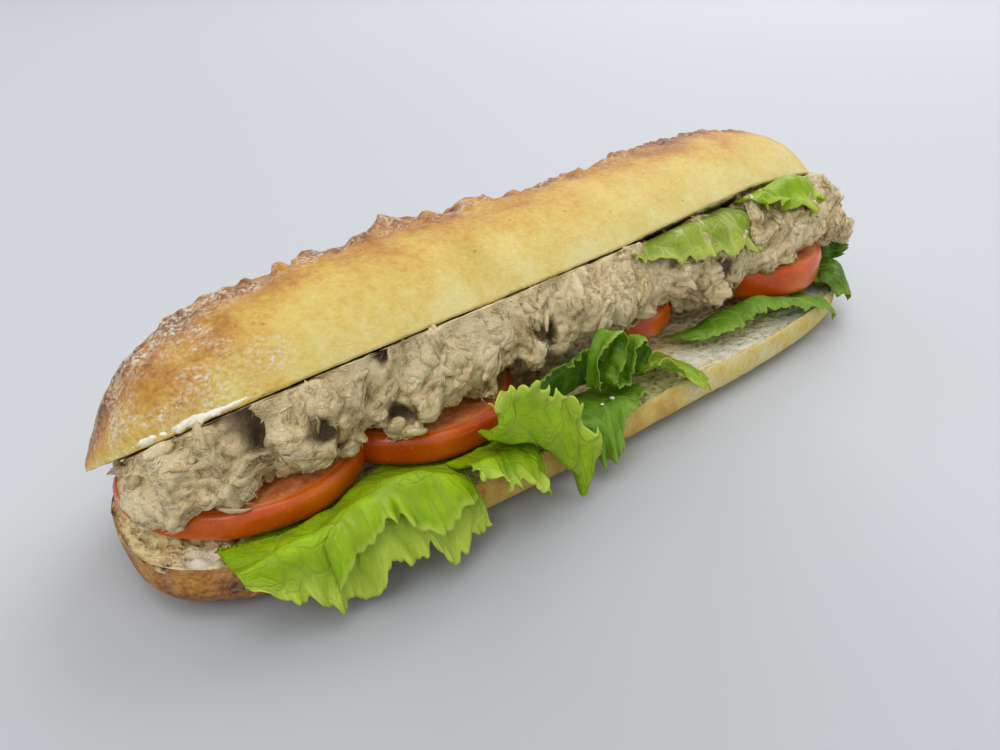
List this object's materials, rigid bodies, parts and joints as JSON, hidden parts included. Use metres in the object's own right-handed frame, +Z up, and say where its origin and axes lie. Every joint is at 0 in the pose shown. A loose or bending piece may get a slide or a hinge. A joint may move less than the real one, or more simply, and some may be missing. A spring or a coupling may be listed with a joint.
{
  "type": "filled long roll sandwich",
  "caption": "Long crusty roll slit along its front and filled with flaked fish, tomato slices and curly lettuce leaves.",
  "frame": {"origin": "on the loaf's flat underside, midway along and across it", "axes": "+X runs along the loaf, -Y is the open side with the filling, +Z is up"},
  "size_m": [0.2824, 0.0956, 0.0689],
  "materials": {
    "bread": "matt crust, golden above, pale at the lips, with flour",
    "fish": "moist fibrous flakes",
    "tomato": "wet flesh with glossy peel",
    "lettuce": "waxy bright leaf",
    "lettuce_dark": "wet dark leaf"
  },
  "bodies": {
    "root": {"bread": "bread", "fish": "fish", "tomato_1": "tomato", "tomato_2": "tomato", "tomato_3": "tomato", "tomato_4": "tomato", "lettuce_front": "lettuce", "lettuce_frill_low": "lettuce", "lettuce_frill_high": "lettuce", "lettuce_dark_low": "lettuce_dark", "lettuce_dark_high": "lettuce_dark", "lettuce_roll": "lettuce_dark", "lettuce_flat": "lettuce", "lettuce_strip": "lettuce_dark", "lettuce_end_low": "lettuce_dark", "lettuce_end_high": "lettuce_dark", "lettuce_top_pale": "lettuce", "lettuce_top_bright": "lettuce"}
  },
  "joints": []
}
